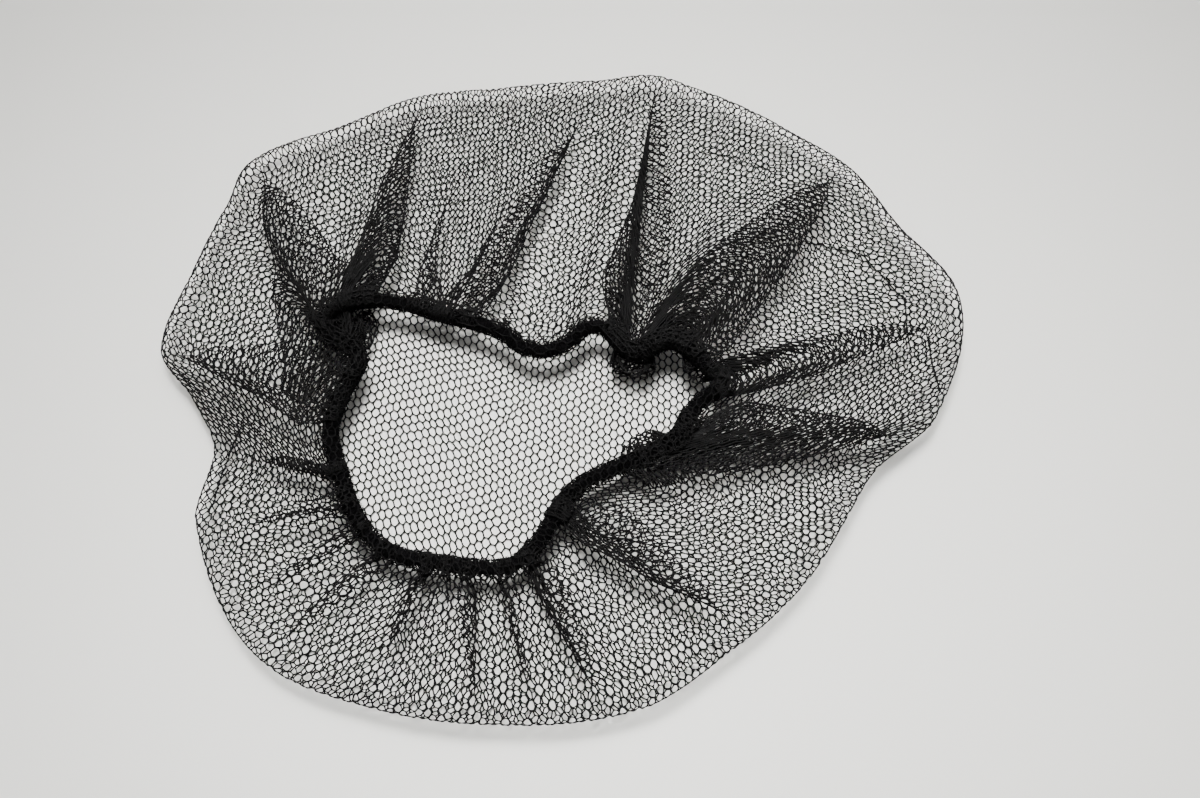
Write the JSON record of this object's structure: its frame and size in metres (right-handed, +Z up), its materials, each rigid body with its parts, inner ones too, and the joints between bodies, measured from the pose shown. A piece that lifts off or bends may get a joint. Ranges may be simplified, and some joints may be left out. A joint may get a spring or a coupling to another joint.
{
  "type": "hairnet",
  "caption": "Bouffant hairnet of black honeycomb knit net with an elastic edge, lying on its back with its gathered mouth up.",
  "frame": {"origin": "under the middle of the hairnet's outline, on the surface that it lies on", "axes": "+Z up, out of the mouth; +X to the right along the longest side, with the elastic's hooked stretch at -X; +Y away from the edge that the mouth is nearest to"},
  "size_m": [0.2838, 0.2642, 0.0172],
  "materials": {
    "net": "fine black nylon yarn, knitted into open honeycomb cells",
    "elastic": "soft elastic cord, overlocked with fuzzy black textured yarn"
  },
  "bodies": {
    "root": {"net_cap": "net", "elastic_band": "elastic"}
  },
  "joints": []
}
